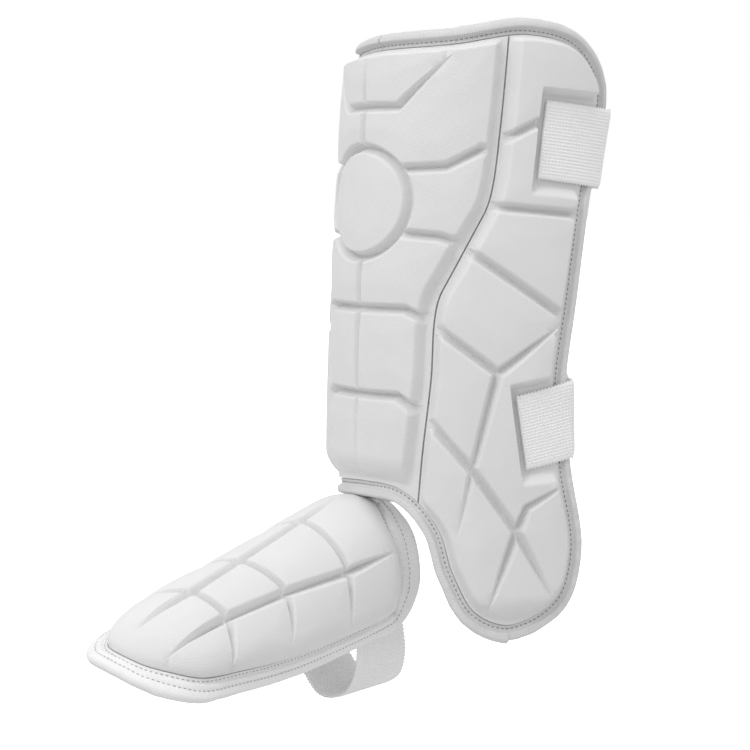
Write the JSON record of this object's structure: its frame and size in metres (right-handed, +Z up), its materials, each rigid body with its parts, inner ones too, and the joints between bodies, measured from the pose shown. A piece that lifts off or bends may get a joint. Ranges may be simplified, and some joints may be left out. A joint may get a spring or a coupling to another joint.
{
  "type": "batter's leg guard",
  "caption": "Padded white shin guard with grooved foam panels and an ankle ear, held by elastic straps, with a grooved foot guard hung below it.",
  "frame": {"origin": "on the leg's axis, at the height of the shin guard's lower front edge", "axes": "+Z up along the leg towards the knee, +X to the outer side of the left leg, -Y to the front, where the toe points"},
  "size_m": [0.1712, 0.3318, 0.3919],
  "materials": {
    "knit_foam": "matte twill knit over moulded foam",
    "backing": "matte brushed knit",
    "tape": "ribbed binding tape with grey stitches",
    "elastic": "ribbed woven elastic"
  },
  "bodies": {
    "root": {"shin_liner": "backing", "front_shell": "knit_foam", "outer_shell": "knit_foam", "inner_shell": "knit_foam", "shin_binding": "tape", "upper_strap": "elastic", "lower_strap": "elastic", "instep_tab": "backing", "foot_liner": "backing", "foot_shell": "knit_foam", "foot_binding": "tape", "foot_strap": "elastic"}
  },
  "joints": []
}
